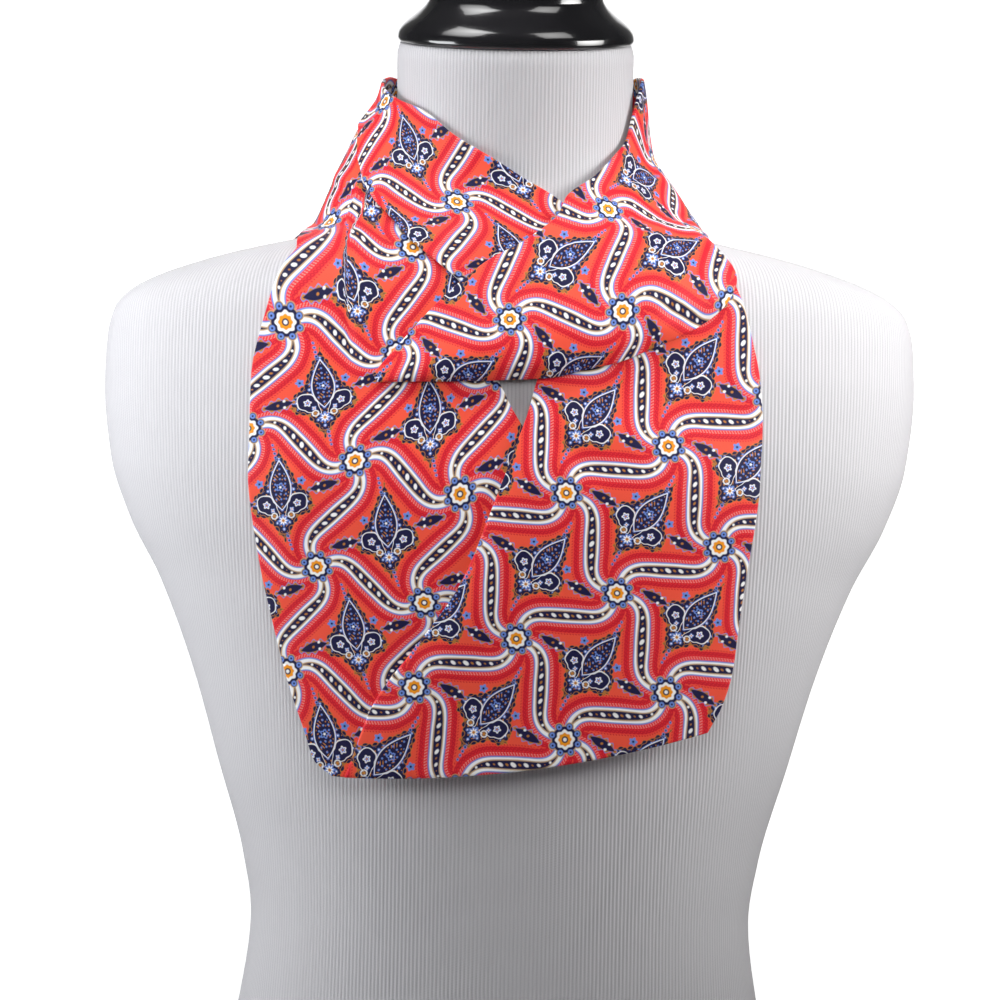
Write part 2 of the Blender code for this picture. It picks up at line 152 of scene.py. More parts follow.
class Ink:
    """What nodes work out at each point: a number, a place or a colour. Numbers go into plain sums."""

    def __init__(self, tree, socket):
        self.tree = tree
        self.socket = socket

    def then(self, operation, *others, clamp=False):
        """One sum more: this number first, then the others."""
        node = self.tree.nodes.new("ShaderNodeMath")
        node.operation = operation
        node.use_clamp = clamp
        self.into(node.inputs[0])
        for slot, other in enumerate(others, start=1):
            if isinstance(other, Ink):
                other.into(node.inputs[slot])
            else:
                node.inputs[slot].default_value = other
        return Ink(self.tree, node.outputs[0])

    def __add__(self, other):
        return self.then("ADD", other)

    def __sub__(self, other):
        return self.then("SUBTRACT", other)

    def __mul__(self, other):
        return self.then("MULTIPLY", other)

    def __truediv__(self, other):
        return self.then("DIVIDE", other)

    def __abs__(self):
        return self.then("ABSOLUTE")

    def scaled(self, factor, offset, clamp=False):
        """The number times a factor, plus an offset, kept from 0 to 1 if it is clamped."""
        return self.then("MULTIPLY_ADD", factor, offset, clamp=clamp)

    def share_of_way(self, start, end):
        """0 where the number is at the start or before it, 1 at the end or past it, and even between."""
        return self.scaled(1.0 / (end - start), start / (start - end), clamp=True)

    def off_whole(self):
        """How far the number is from the nearest whole one, with its sign."""
        return self - self.then("ROUND")

    def into(self, target):
        """Feed it to an input of another node."""
        self.tree.links.new(self.socket, target)


def shade(red, green, blue):
    """A colour as a swatch gives it, 0 to 255, as the light that it sends back."""
    swatch = np.array([red, green, blue]) / 255.0
    return (*np.where(swatch < 0.04045, swatch / 12.92, ((swatch + 0.055) / 1.055) ** 2.4), 1.0)


def paint(under, over, cover):
    """One colour laid over another where the cover is 1. Each is a swatch or an earlier layer."""
    node = cover.tree.nodes.new("ShaderNodeMix")
    node.data_type = "RGBA"
    cover.into(node.inputs[0])
    for slot, colour in ((6, under), (7, over)):
        if isinstance(colour, Ink):
            colour.into(node.inputs[slot])
        else:
            node.inputs[slot].default_value = colour
    return Ink(cover.tree, node.outputs[2])


def point_on(tree, flat_cloth=False):
    """The place of a point and its first two axes, on the flat cloth or on the object in metres."""
    node = tree.nodes.new("ShaderNodeUVMap" if flat_cloth else "ShaderNodeTexCoord")
    if flat_cloth:
        node.uv_map = "cloth"
    place = Ink(tree, node.outputs["UV" if flat_cloth else "Object"])
    parts = tree.nodes.new("ShaderNodeSeparateXYZ")
    place.into(parts.inputs["Vector"])
    return place, Ink(tree, parts.outputs["X"]), Ink(tree, parts.outputs["Y"])


def add_noise(place, scale, detail):
    """Cloudy noise from 0 to 1."""
    node = add_node(place.tree, "ShaderNodeTexNoise", Scale=scale, Detail=detail)
    place.into(node.inputs["Vector"])
    return Ink(place.tree, node.outputs["Fac"])


def add_bump(height, shader, strength, distance):
    """Fine relief on a material, with its depth in metres."""
    bump = add_node(height.tree, "ShaderNodeBump", Strength=strength, Distance=distance)
    height.into(bump.inputs["Height"])
    Ink(height.tree, bump.outputs["Normal"]).into(shader.inputs["Normal"])


def seen_by_camera(tree):
    """1 where the camera sees the surface itself, and 0 for the light that it sends on."""
    return Ink(tree, tree.nodes.new("ShaderNodeLightPath").outputs["Is Camera Ray"])


# The sky lights the form weakly, and is pale where the camera sees it.
sky = bpy.data.worlds.new("soft_sky")
scene.world = sky
sky.use_nodes = True
sky_light = sky.node_tree.nodes["Background"]
sky_light.inputs["Color"].default_value = (1.0, 1.0, 1.0, 1.0)
(seen_by_camera(sky.node_tree) * (PALE_SEEN - SKY_ON_FORM) + SKY_ON_FORM).into(sky_light.inputs["Strength"])

# The paper well behind the form glows by itself, a painted light that stands in for lamps of its own. The
# glow fades out towards the form and the sides, and all of the paper is pale where the camera sees it.
paper, paper_tree, paper_shader = new_material(
    "studio_paper", Roughness=0.95, Emission_Color=(1.0, 1.0, 1.0, 1.0))
paper_place, paper_x, paper_y = point_on(paper_tree)
paper_colour = paint((0.9, 0.9, 0.9, 1.0), (0.94, 0.94, 0.94, 1.0), add_noise(paper_place, 60.0, 3.0))
paper_colour.into(paper_shader.inputs["Base Color"])
behind = paper_y.share_of_way(GLOW_BEHIND, GLOW_FULL_BEHIND)
near_middle = abs(paper_x).share_of_way(GLOW_BESIDE, GLOW_FULL_BESIDE)
glow = (behind * near_middle).then("MAXIMUM", seen_by_camera(paper_tree) * PALE_SEEN)
glow.into(paper_shader.inputs["Emission Strength"])
# The sweep's profile: flat floor, a quarter circle, then the wall, carried 12 m across.
quarter = np.linspace(0.0, math.pi / 2.0, SWEEP_STEPS)
curve = SWEEP_CURVE * np.sin(quarter), SWEEP_CURVE * (1.0 - np.cos(quarter))
profile_y = np.concatenate([[SWEEP_FRONT, 0.0], SWEEP_WALL - SWEEP_CURVE + curve[0], [SWEEP_WALL]])
profile_z = np.concatenate([[0.0, 0.0], curve[1], [SWEEP_TOP]])
across_sweep = np.linspace(-SWEEP_HALF, SWEEP_HALF, 3)
sweep_points = np.stack(np.broadcast_arrays(across_sweep, profile_y[:, None], profile_z[:, None]), axis=-1)
sweep_faces = grid_faces(len(profile_y), len(across_sweep))
sweep = make_piece("studio_sweep", sweep_points.reshape(-1, 3), sweep_faces, paper)

# The dress form: a moulded shell padded with thin foam, without arms or head, under a pale grey ribbed
# knit cover that is drawn tight. The ribs run up the form side by side, 2 mm apart, from its centre front.
KNIT_RIB = 2.0
KNIT_LOOP = 1.3
NECK_TOP = 673.5
NECK_TILT = 8.6
NECK_TILT_START = 600.0
NECK_LEAN = 10.0
FORM_RINGS = [
    # height, half_width, front_depth, back_depth, forward, squareness
    (0, 157, 90, 108, 0, 2.35),
    (6, 161, 94, 112, 0, 2.35),
    (60, 163, 97, 117, 0, 2.35),
    (120, 152, 98, 108, 0, 2.3),
    (180, 134, 100, 93, 0, 2.25),
    (221, 129.2, 102, 87, 0, 2.25),
    (252, 133.8, 103, 86, 0, 2.25),
    (300, 147.6, 106, 89, 0, 2.3),
    (347, 161.4, 111, 95, 0, 2.35),
    (393, 179, 115, 101, 0, 2.4),
    (425, 195.6, 115.5, 103.5, 0, 2.4),
    (456, 206, 113.5, 104.5, 0, 2.4),
    (495, 210, 106, 103, 0, 2.4),
    (519, 209, 99, 99.5, 0, 2.35),
    (534, 205.3, 94, 96.5, 0, 2.3),
    (543, 197, 90.5, 94, 0, 2.25),
    (550, 184, 87.5, 92, 0, 2.2),
    (558.5, 160.5, 83, 89, 0, 2.1),
    (564.5, 139, 80, 86.5, 0, 2.05),
    (569.5, 116.5, 77, 84.5, 0, 2),
    (575, 94, 73.5, 82, 0, 2),
    (588, 74, 66.5, 76, 1, 2),
    (602, 65.5, 62.5, 70, 2.5, 2),
    (622, 61, 61, 62.5, 5, 2),
    (650, 60.6, 60.6, 60.6, 8, 2),
    (668, 60.6, 60.6, 60.6, 9.6, 2),
    (673.5, 59, 59, 59, 10, 2),
]


def smooth_rows(keys, values, at):
    """Columns of a table at the keys asked for: a cubic between each two rows, whose slope at a row is
    the harmonic mean of the slopes beside it, so that it never overshoots."""
    step = np.diff(keys)[:, None]
    rise = np.diff(values, axis=0) / step
    before = rise[:-1]
    after = rise[1:]
    same_way = before * after > 0
    total = np.where(same_way, before + after, 1.0)
    mean = np.where(same_way, 2.0 * before * after / total, 0.0)
    slope = np.concatenate([rise[:1], mean, rise[-1:]])
    at = np.clip(at, keys[0], keys[-1])
    row = np.clip(np.searchsorted(keys, at, side="right") - 1, 0, len(keys) - 2)
    width = step[row]
    share = (at - keys[row])[..., None] / width
    rest = 1.0 - share
    start = values[row] * (1.0 + 2.0 * share) + slope[row] * width * share
    end = values[row + 1] * (1.0 + 2.0 * rest) - slope[row + 1] * width * rest
    return start * rest ** 2 + end * share ** 2


def smooth_table(rows, at):
    """The same for a table whose first column is the key, as one array for each other column."""
    table = np.array(rows, float)
    return np.moveaxis(smooth_rows(table[:, 0], table[:, 1:], at), -1, 0)


def ring_radius(turn, left, right, front, back, forward, squareness):
    """Distance from the axis to a squarish oval. A turn of 0 faces the viewer and 90 degrees is +X."""
    across = np.sin(turn)
    ahead = np.cos(turn)
    side_width = np.where(across > 0, right, left)
    depth = np.where(ahead > 0, front, back)
    total = np.abs(across / side_width) ** squareness + np.abs(ahead / depth) ** squareness
    return total ** (-1.0 / squareness) + forward * ahead


def form_radius(turn, height):
    """Radius of the dress form."""
    half_width, *others = smooth_table(FORM_RINGS, height)
    return ring_radius(turn, half_width, half_width, *others)


# A rib is a sine across the form. The loops of the knit cut it up along its height, half a loop
# further on each next rib, and a slow cloudy variation keeps the cover from looking printed.
knit, knit_tree, knit_shader = new_material(
    "ribbed_knit", Sheen_Weight=0.18, Sheen_Roughness=0.5, Specular_IOR_Level=0.25)
_, knit_across, knit_up = point_on(knit_tree, flat_cloth=True)
rib_across = knit_across * (1.0 / (KNIT_RIB * MM))
loop_along = knit_up * (1.0 / (KNIT_LOOP * MM))
rib = (rib_across * math.tau).then("COSINE")
loop = ((loop_along + rib_across.then("FLOOR") * 0.5) * math.tau).then("COSINE")
relief = rib * 0.5 + loop * (rib * 0.08 + 0.12) + 0.5
# Painted shade: the cover's colour is darker in the valleys between the ribs.
rib_valley_shade = relief.scaled(-1.15, 0.72, clamp=True)
cloud = add_noise(point_on(knit_tree)[0], 14.0, 4.0)
mottle = cloud.scaled(0.5, -0.17, clamp=True)
knit_colour = paint(shade(203, 202, 205), shade(179, 177, 182), rib_valley_shade)
knit_colour = paint(knit_colour, shade(190, 189, 193), mottle)
knit_colour.into(knit_shader.inputs["Base Color"])
relief.scaled(-0.08, 0.93).into(knit_shader.inputs["Roughness"])
add_bump(relief, knit_shader, strength=0.34, distance=0.0005)


def closed_tube(name, points, material, places=None):
    """A piece from rings of points, closed at both ends by a flat face."""
    rings, columns = points.shape[:2]
    faces = grid_faces(rings, columns, closed=True).tolist()
    faces.append(list(range(columns))[::-1])
    faces.append(list(range((rings - 1) * columns, rings * columns)))
    return make_piece(name, points.reshape(-1, 3), faces, material, places)


FORM_COLUMNS = 200
FORM_ROWS = 190
EDGE_HEIGHTS = [0.0, 1.5, 3.5, 671.0, 672.6, NECK_TOP]
form_heights = np.union1d(np.linspace(6.0, NECK_TOP - 5.5, FORM_ROWS), EDGE_HEIGHTS)
form_turns = np.linspace(0.0, math.tau, FORM_COLUMNS, endpoint=False)
turn, height = np.meshgrid(form_turns, form_heights)
radius = form_radius(turn, height)
depth = -radius * np.cos(turn)
up_the_neck = np.clip((height - NECK_TILT_START) / (NECK_TOP - NECK_TILT_START), 0.0, 1.0)
slope = math.tan(math.radians(NECK_TILT)) * up_the_neck
form_points = np.stack([radius * np.sin(turn), depth, height + slope * (depth + NECK_LEAN)], axis=-1)
# The flat place of the cover: girth measured from the centre front, and height.
steps = np.linalg.norm(np.roll(form_points, -1, axis=1) - form_points, axis=2)
girth = np.cumsum(steps, axis=1) - steps
girth[:, FORM_COLUMNS // 2:] -= steps.sum(axis=1, keepdims=True)
cover_places = np.stack([girth, height], axis=-1) * MM
cover = closed_tube("form_cover", form_points, knit, cover_places.reshape(-1, 2))
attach(cover, "root")
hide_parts("form_torso")

# The cap closes the neck. It is turned from wood, with a wide bead below and a smaller tier above, and
# lacquered black to a mirror gloss. It sits 0.3 mm above the neck and tilts forward with it.
CAP_GAP = 0.3
CAP_COLUMNS = 160
CAP_ROWS = 110
CAP_PROFILE = [
    # radius, height above the neck
    (0, 0),
    (57, 0),
    (60.4, 0.4),
    (61.4, 2.4),
    (61.1, 4.8),
    (59.2, 8.2),
    (56.2, 11.2),
    (52.8, 13.9),
    (49.4, 16.8),
    (46.6, 19.8),
    (45, 22.8),
    (44.6, 26.4),
    (45, 30.6),
    (40.5, 34.4),
    (32, 38),
    (20, 40.6),
    (8, 41.8),
    (0, 42),
]

lacquer, lacquer_tree, lacquer_shader = new_material("black_lacquer", Coat_Weight=0.8, Coat_Roughness=0.04)
wear = add_noise(point_on(lacquer_tree)[0], 26.0, 5.0)
lacquer_cover = wear.scaled(1.6, -0.6, clamp=True)
lacquer_colour = paint(shade(19, 19, 21), shade(38, 37, 40), lacquer_cover)
lacquer_colour.into(lacquer_shader.inputs["Base Color"])
wear.scaled(0.12, 0.1).into(lacquer_shader.inputs["Roughness"])
add_bump(wear, lacquer_shader, strength=0.06, distance=0.0006)


def run_along(points):
    """Length along a line of points up to each of them. Several lines can lie side by side."""
    steps = np.linalg.norm(np.diff(points, axis=-2), axis=-1)
    return np.concatenate([np.zeros_like(steps[..., :1]), np.cumsum(steps, axis=-1)], axis=-1)


cap_profile = np.array(CAP_PROFILE)
cap_run = run_along(cap_profile)
cap_steps = np.union1d(cap_run, np.linspace(0.0, cap_run[-1], CAP_ROWS))
cap_fine = smooth_rows(cap_run, cap_profile, cap_steps)[1:-1]
cap_turn = np.linspace(0.0, math.tau, CAP_COLUMNS, endpoint=False)
cap_radius, cap_height = cap_fine[:, :1], cap_fine[:, 1:]
tilt = math.radians(NECK_TILT)
cap_depth = -cap_radius * np.cos(cap_turn)
cap_points = np.stack([
    cap_radius * np.sin(cap_turn),
    cap_depth * math.cos(tilt) - cap_height * math.sin(tilt) - NECK_LEAN,
    cap_depth * math.sin(tilt) + cap_height * math.cos(tilt) + NECK_TOP + CAP_GAP,
], axis=-1)
cap = closed_tube("neck_cap_lacquered", cap_points, lacquer)
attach(cap, "root")
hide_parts("neck_cap")

# How the scarf lies: one draped surface over chest, shoulders and neck, just clear of the knit cover.
# It stands off behind the neck and at its sides, where the wound cloth bridges from neck to shoulder.
REST_ABOVE = 1.4
REST_OUTSIDE = 1.0
BLEND = 12.0
SHORT_TURN = 0.01
SETTLING_STEPS = 8
FARTHEST_SEEN = 92.0
HALVINGS = 40
DRAPE_RINGS = [
    # height, left, right, front_depth, back_depth, forward, squareness
    (290, 185, 185, 118.5, 96, 0, 2.4),
    (400, 195, 195, 118.5, 100, 0, 2.4),
    (440, 200, 200, 117.5, 103, 0, 2.4),
    (480, 180, 180, 108, 104, 0, 2.3),
    (520, 130, 128, 97, 103, 0, 2.1),
    (550, 112, 110, 86, 100, 0, 2),
    (570, 104, 98, 76, 94, 0, 2),
    (585, 97.3, 87.3, 68, 87, 0, 2),
    (599, 91.5, 77.5, 62, 78, -3, 2),
    (615, 84.5, 67, 59, 69, -6, 2),
    (630, 77, 65, 57, 63, -9, 2),
    (645, 67, 64, 55, 59, -10, 2),
    (662, 62, 61, 54, 58, -10, 2),
]


def drape_radius(turn, height):
    """Radius of the draped surface: the larger of skin and sweep, plus (gap to BLEND)^2 / (4 BLEND)."""
    sweep_out = ring_radius(turn, *smooth_table(DRAPE_RINGS, height))
    skin = form_radius(turn, height - REST_ABOVE) + REST_OUTSIDE
    near = np.maximum(BLEND - np.abs(sweep_out - skin), 0.0)
    return np.maximum(sweep_out, skin) + near ** 2 / (4.0 * BLEND)


def drape_point(turn, height):
    """Point of the draped surface."""
    out = drape_radius(turn, height)
    return np.stack([out * np.sin(turn), -out * np.cos(turn), height], axis=-1)


def drape_normal(turn, height):
    """Direction straight out of the draped surface: the cross product of two short steps on it."""
    along = drape_point(turn + SHORT_TURN, height) - drape_point(turn - SHORT_TURN, height)
    up = drape_point(turn, height + 1.0) - drape_point(turn, height - 1.0)
    normal = np.cross(along, up)
    return normal / np.linalg.norm(normal, axis=-1, keepdims=True)


def settle_on_drape(points):
    """Turn and height of the nearest places on the draped surface, by steps along its normal."""
    for _ in range(SETTLING_STEPS):
        turn = np.arctan2(points[..., 0], -points[..., 1])
        height = points[..., 2]
        normal = drape_normal(turn, height)
        away = np.sum((drape_point(turn, height) - points) * normal, axis=-1, keepdims=True)
        points = points + away * normal
    return np.arctan2(points[..., 0], -points[..., 1]), points[..., 2]


def front(across, height):
    """Turn and height of the drape's point that is seen at this place from the front, by halving."""
    low, high = math.radians(-FARTHEST_SEEN), math.radians(FARTHEST_SEEN)
    for _ in range(HALVINGS):
        middle = (low + high) / 2.0
        if drape_radius(middle, height) * math.sin(middle) < across:
            low = middle
        else:
            high = middle
    return (low, height)


def side(degrees, height):
    """Turn and height of a point that is given by its turn, for the sides and the back."""
    return (math.radians(degrees), height)


def facing(*marks):
    """A section of cloth in front: where its neck edge, middle and outer edge are seen, each as its place
    across and its height, and then its lifts."""
    return (front(*marks[:2]), front(*marks[2:4]), front(*marks[4:6]), *marks[6:])


def around(degrees, neck_height, middle_height, outer_height, *lifts):
    """A section of cloth at one turn: its three heights, and then its lifts."""
    return (side(degrees, neck_height), side(degrees, middle_height), side(degrees, outer_height), *lifts)


# The cloth itself: its wall, its rounded folds, the grid on which it is laid flat, and the easing of its
# threads there. The print's repeat is fitted to its flowers with a reach, and gives way by a slack. A
# flower may lie a few steps of the grid beyond the cloth's edge.
CLOTH_WALL = 2.0
EDGE_ROUND = 1.3
EDGE_STEPS = (0.0, 0.15, 0.45, 0.85, 1.3)
FLAT_COLUMNS = 110
FLAT_ACROSS = 16
EASING_ROUNDS = 700
EASING_PULL = 1.6
REPEAT = 57.7
PRINT_REACH = 60.0
PRINT_SLACK = 0.08
STEPS_BEYOND = 6.0
CREASE_FADE = 6.4
FAR_AWAY = 1e6


def lay_sections(sections, runs, shares):
    """Grid of the draped surface's turn and height, and of the lift without its swell, and the swell."""
    knots = np.array([section[0] + section[1] + section[2] + section[3:] for section in sections], float)
    middles = drape_point(knots[:, 2], knots[:, 3])
    run = run_along(middles)
    rows = smooth_rows(run, knots, runs * run[-1])
    weights = np.stack([
        (2 * shares - 1) * (shares - 1), 4 * shares * (1 - shares), shares * (2 * shares - 1)])
    marks = drape_point(rows[:, 0:6:2], rows[:, 1:6:2])
    turn, height = settle_on_drape(np.einsum("cmk,ms->csk", marks, weights))
    lift = rows[:, 6:7] + (rows[:, 7:8] - rows[:, 6:7]) * shares
    return turn, height, lift, rows[:, 8:9]


def lay_flat(grid):
    """The cloth laid flat. The strip is unfolded from section to section by the lengths of its sides and
    of one diagonal, and then every thread of the grid is eased to the length that it has on the form."""
    rows, columns = grid.shape[:2]
    widths = run_along(grid)
    share = np.linspace(0.0, 1.0, columns)
    slanting = grid[:-1] + (grid[1:] - grid[:-1]) * (1.0 - share)[None, :, None]
    diagonals = run_along(slanting)[:, -1]
    neck_steps = np.linalg.norm(np.diff(grid[:, 0], axis=0), axis=1)
    outer_steps = np.linalg.norm(np.diff(grid[:, -1], axis=0), axis=1)

    def corner(start, end, from_start, from_end, hand):
        """The point at two given distances from two others, on the left (1) or right (-1) of the way."""
        way = end - start
        apart = np.hypot(*way)
        on_way = (from_start ** 2 - from_end ** 2 + apart ** 2) / (2.0 * apart)
        off_way = math.sqrt(max(from_start ** 2 - on_way ** 2, 0.0))
        return start + (way * on_way + np.array([-way[1], way[0]]) * off_way * hand) / apart

    flat = np.zeros((rows, columns, 2))
    flat[0, :, 1] = widths[0]
    for row in range(rows - 1):
        neck_next = corner(flat[row, 0], flat[row, -1], neck_steps[row], diagonals[row], -1.0)
        outer_next = corner(flat[row, -1], neck_next, outer_steps[row], widths[row + 1, -1], 1.0)
        across = widths[row + 1] / widths[row + 1, -1]
        flat[row + 1] = neck_next + (outer_next - neck_next) * across[:, None]
    index = np.arange(rows * columns).reshape(rows, columns)
    pairs = [(index[:-1], index[1:]), (index[:, :-1], index[:, 1:])]
    pairs += [(index[:-1, :-1], index[1:, 1:]), (index[:-1, 1:], index[1:, :-1])]
    first = np.concatenate([pair[0].ravel() for pair in pairs])
    second = np.concatenate([pair[1].ravel() for pair in pairs])
    solid = grid.reshape(-1, 3)
    length = np.linalg.norm(solid[second] - solid[first], axis=1)
    flat = flat.reshape(-1, 2)
    count = len(flat)
    threads = np.bincount(np.concatenate([first, second]), minlength=count)[:, None]
    for _ in range(EASING_ROUNDS):
        way = flat[second] - flat[first]
        now = np.linalg.norm(way, axis=1)
        pull = (way * ((now - length) / now * 0.5)[:, None]).T
        moved = [np.bincount(first, part, count) - np.bincount(second, part, count) for part in pull]
        flat = flat + np.stack(moved, axis=1) / threads * EASING_PULL
    return flat.reshape(rows, columns, 2)


def place_print(grid, flat, flowers):
    """The print's own place of each grid point, in repeats. The cloth is turned and shifted to bring the
    repeat's flowers nearest to where they fall, and eased a little towards each, fading with distance."""
    marks, repeats = np.hsplit(np.array(flowers, float), 2)
    upright = flat * np.array([1.0, -1.0])
    seen = grid[..., [0, 2]]
    places = []
    for mark in marks:
        away = np.hypot(*(seen - mark).transpose(2, 0, 1)) + np.where(grid[..., 1] > 0.0, FAR_AWAY, 0.0)
        i, j = np.unravel_index(np.argmin(away), away.shape)
        i = min(max(i, 1), grid.shape[0] - 2)
        j = min(max(j, 1), grid.shape[1] - 2)
        steps = np.stack([seen[i + 1, j] - seen[i - 1, j], seen[i, j + 1] - seen[i, j - 1]], axis=1) / 2.0
        share = np.clip(np.linalg.solve(steps, mark - seen[i, j]), -STEPS_BEYOND, STEPS_BEYOND)
        along = (upright[i + 1, j] - upright[i - 1, j]) / 2.0
        over = (upright[i, j + 1] - upright[i, j - 1]) / 2.0
        places.append(upright[i, j] + share[0] * along + share[1] * over)
    at = np.array(places)
    middle = at.mean(axis=0)
    centre = repeats.mean(axis=0)
    cross = (at - middle).T @ (repeats - centre)
    spin = math.atan2(cross[0, 1] - cross[1, 0], cross[0, 0] + cross[1, 1])
    turned = np.array([[math.cos(spin), math.sin(spin)], [-math.sin(spin), math.cos(spin)]]) / REPEAT
    base = (upright - middle) @ turned + centre
    rest = repeats - ((at - middle) @ turned + centre)

    def closeness(points):
        """exp(-(distance / reach)^2 / 2) of each point to each flower."""
        apart = np.sum((points[..., None, :] - at) ** 2, axis=-1)
        return np.exp(-apart / (2.0 * PRINT_REACH ** 2))

    weights = np.linalg.solve(closeness(at) + PRINT_SLACK * np.eye(len(at)), rest)
    off_by = np.hypot(*rest.T).max() * REPEAT
    print(f"print: turned {math.degrees(spin):.1f} degrees, flowers off by {off_by:.1f} mm before easing")
    return base + closeness(upright) @ weights


def hidden_cloth(grid, flat, tuck):
    """How far the flat cloth beyond a tuck lies out, past the cloth that the tuck hides. The tuck's line is
    given by its height, its place across and the width it hides."""
    if not tuck:
        return np.zeros_like(flat)
    heights, line, width = np.array(tuck, float).T
    beyond = np.clip(np.interp(grid[..., 2], heights, line) - grid[..., 0] + 0.5, 0.0, 1.0)
    width = np.where(grid[..., 1] < 0.0, beyond * np.interp(grid[..., 2], heights, width), 0.0)
    outwards = flat[:, -1:] - flat[:, :1]
    return width[..., None] * outwards / np.linalg.norm(outwards, axis=-1, keepdims=True)


def crease_lift(points, creases):
    """Sum of soft ridges and troughs. Each runs from one place seen from the front to another, has the
    profile height x exp(-(distance / width)^2), and fades out towards its ends."""
    total = np.zeros(points.shape[:-1])
    seen = points[..., [0, 2]]
    for from_x, from_z, to_x, to_z, height, width in creases:
        start = np.array([from_x, from_z])
        way = np.array([to_x - from_x, to_z - from_z])
        share = np.clip(((seen - start) @ way) / (way @ way), 0.0, 1.0)
        away = np.linalg.norm(seen - start - share[..., None] * way, axis=-1)
        fade = np.clip(CREASE_FADE * share * (1.0 - share), 0.0, 1.0)
        total += np.where(points[..., 1] < 0.0, height * np.exp(-(away / width) ** 2) * fade, 0.0)
    return total


def close_at_ends(count, size):
    """Even steps from 0 to 1 with closer ones near both ends, for a stretch of this size in millimetres."""
    near = np.array(EDGE_STEPS) / EDGE_STEPS[-1] * EDGE_ROUND / size
    return np.unique(np.concatenate([near, np.linspace(0.0, 1.0, count + 1)[1:-1], 1.0 - near]))


def make_cloth(name, sections, swell_shape, creases, flowers, columns, across, tuck=()):
    """A stretch of the flat tube: two faces 2 mm apart that come together round its folded edges."""
    coarse_run = np.linspace(0.0, 1.0, FLAT_COLUMNS + 1)
    coarse_share = np.linspace(0.0, 1.0, FLAT_ACROSS + 1)
    turn, height, lift, swell = lay_sections(sections, coarse_run, coarse_share)
    lift = lift + swell * smooth_table(swell_shape, coarse_share)[0]
    lifted = drape_point(turn, height) + (lift + CLOTH_WALL / 2.0)[..., None] * drape_normal(turn, height)
    flat = lay_flat(lifted)

    runs = close_at_ends(columns, run_along(lifted[:, FLAT_ACROSS // 2])[-1])
    shares = close_at_ends(across, run_along(lifted)[:, -1].max())
    turn, height, lift, swell = lay_sections(sections, runs, shares)
    rest = drape_point(turn, height)
    normal = drape_normal(turn, height)
    lift = lift + swell * smooth_table(swell_shape, shares)[0] + crease_lift(rest, creases)
    over = run_along(rest)
    along = run_along(rest[:, len(shares) // 2])
    from_ends = np.minimum(along, along[-1] - along)[:, None]
    from_edge = np.minimum(np.minimum(over, over[:, -1:] - over), from_ends)
    open_by = np.sqrt(1.0 - (1.0 - np.clip(from_edge / EDGE_ROUND, 0.0, 1.0)) ** 2) * CLOTH_WALL / 2.0
    middle = lift + CLOTH_WALL / 2.0
    outer = rest + (middle + open_by)[..., None] * normal
    inner = rest + (middle - open_by)[..., None] * normal

    # The flat place of each point lies between those of the coarse grid's points round it.
    row = runs * FLAT_COLUMNS
    column = shares * FLAT_ACROSS
    i = np.clip(row.astype(int), 0, FLAT_COLUMNS - 1)[:, None]
    j = np.clip(column.astype(int), 0, FLAT_ACROSS - 1)[None]
    di = (row[:, None] - i)[..., None]
    dj = (column[None] - j)[..., None]
    at = (flat[i, j] * (1 - dj) + flat[i, j + 1] * dj) * (1 - di)
    at = at + (flat[i + 1, j] * (1 - dj) + flat[i + 1, j + 1] * dj) * di
    at = place_print(outer, at + hidden_cloth(outer, at, tuck), flowers)

    # The two faces share the points of the rim.
    outer_faces = grid_faces(len(runs), len(shares))
    index = np.arange(len(runs) * len(shares)).reshape(len(runs), len(shares))
    inside = np.zeros_like(index, dtype=bool)
    inside[1:-1, 1:-1] = True
    inner_index = index.copy()
    inner_index[inside] = index.size + np.arange(inside.sum())
    faces = np.concatenate([outer_faces, inner_index.ravel()[outer_faces][:, ::-1]])[:, ::-1]
    points = np.concatenate([outer.reshape(-1, 3), inner[inside]])
    places = np.concatenate([at.reshape(-1, 2), at[inside]])
    piece = make_piece(name, points, faces, printed_cloth, places)
    box = flat.reshape(-1, 2) - flat.reshape(-1, 2).mean(axis=0)
    spread = np.ptp(box @ np.linalg.svd(box, full_matrices=False)[2].T, axis=0)
    print(f"{name}: {len(faces) * 2} triangles, flat {spread[1]:.0f} x {spread[0]:.0f} mm")
    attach(piece, "root")
    return piece


# The printed cloth: a light satin-faced twill, printed with a foulard repeat of this file's own drawing.
# Flowers stand at the corners of a 58 mm square, curved ribbons join them round a four-armed star, and
# a small bouquet of one leaf and two petals stands in the star.
RED = shade(240, 84, 60)
DEEP_RED = shade(232, 46, 52)
CRIMSON = shade(200, 18, 40)
PALE = shade(238, 150, 140)
WHITE = shade(246, 245, 244)
BLUE = shade(108, 140, 216)
TAN = shade(196, 164, 124)
NAVY = shade(24, 22, 64)
OCHRE = shade(194, 126, 50)
AMBER = shade(242, 152, 22)
TWILL_STEP = 0.62
WEFT_STEP = 0.9

printed_cloth, print_tree, print_shader = new_material(
    "printed_cloth", Sheen_Weight=0.06, Sheen_Roughness=0.4, Specular_IOR_Level=0.2)
print_place, x, y = point_on(print_tree, flat_cloth=True)


def within(field, edge, soft=0.0045):
    """1 where the field is below the edge and 0 above it, with a soft step between."""
    return field.share_of_way(edge + soft, edge - soft)


def layers(under, field, *steps, soft=0.0045):
    """Colours laid over one another, each where the field is below its own edge."""
    for over, edge in steps:
        under = paint(under, over, within(field, edge, soft))
    return under


def both(first, second):
    """Distance from the point where both numbers are 0."""
    return (first * first + second * second).then("SQRT")


def lowest(*fields):
    """The smallest of several numbers, so that shapes join into one."""
    least = fields[0]
    for field in fields[1:]:
        least = least.then("MINIMUM", field)
    return least


def sway(along):
    """How far a ribbon swings to the side: 0.12 sin(turn) + 0.018 sin(twice the turn)."""
    turn = along * math.tau
    return turn.then("SINE") * 0.12 + (turn * 2.0).then("SINE") * 0.018


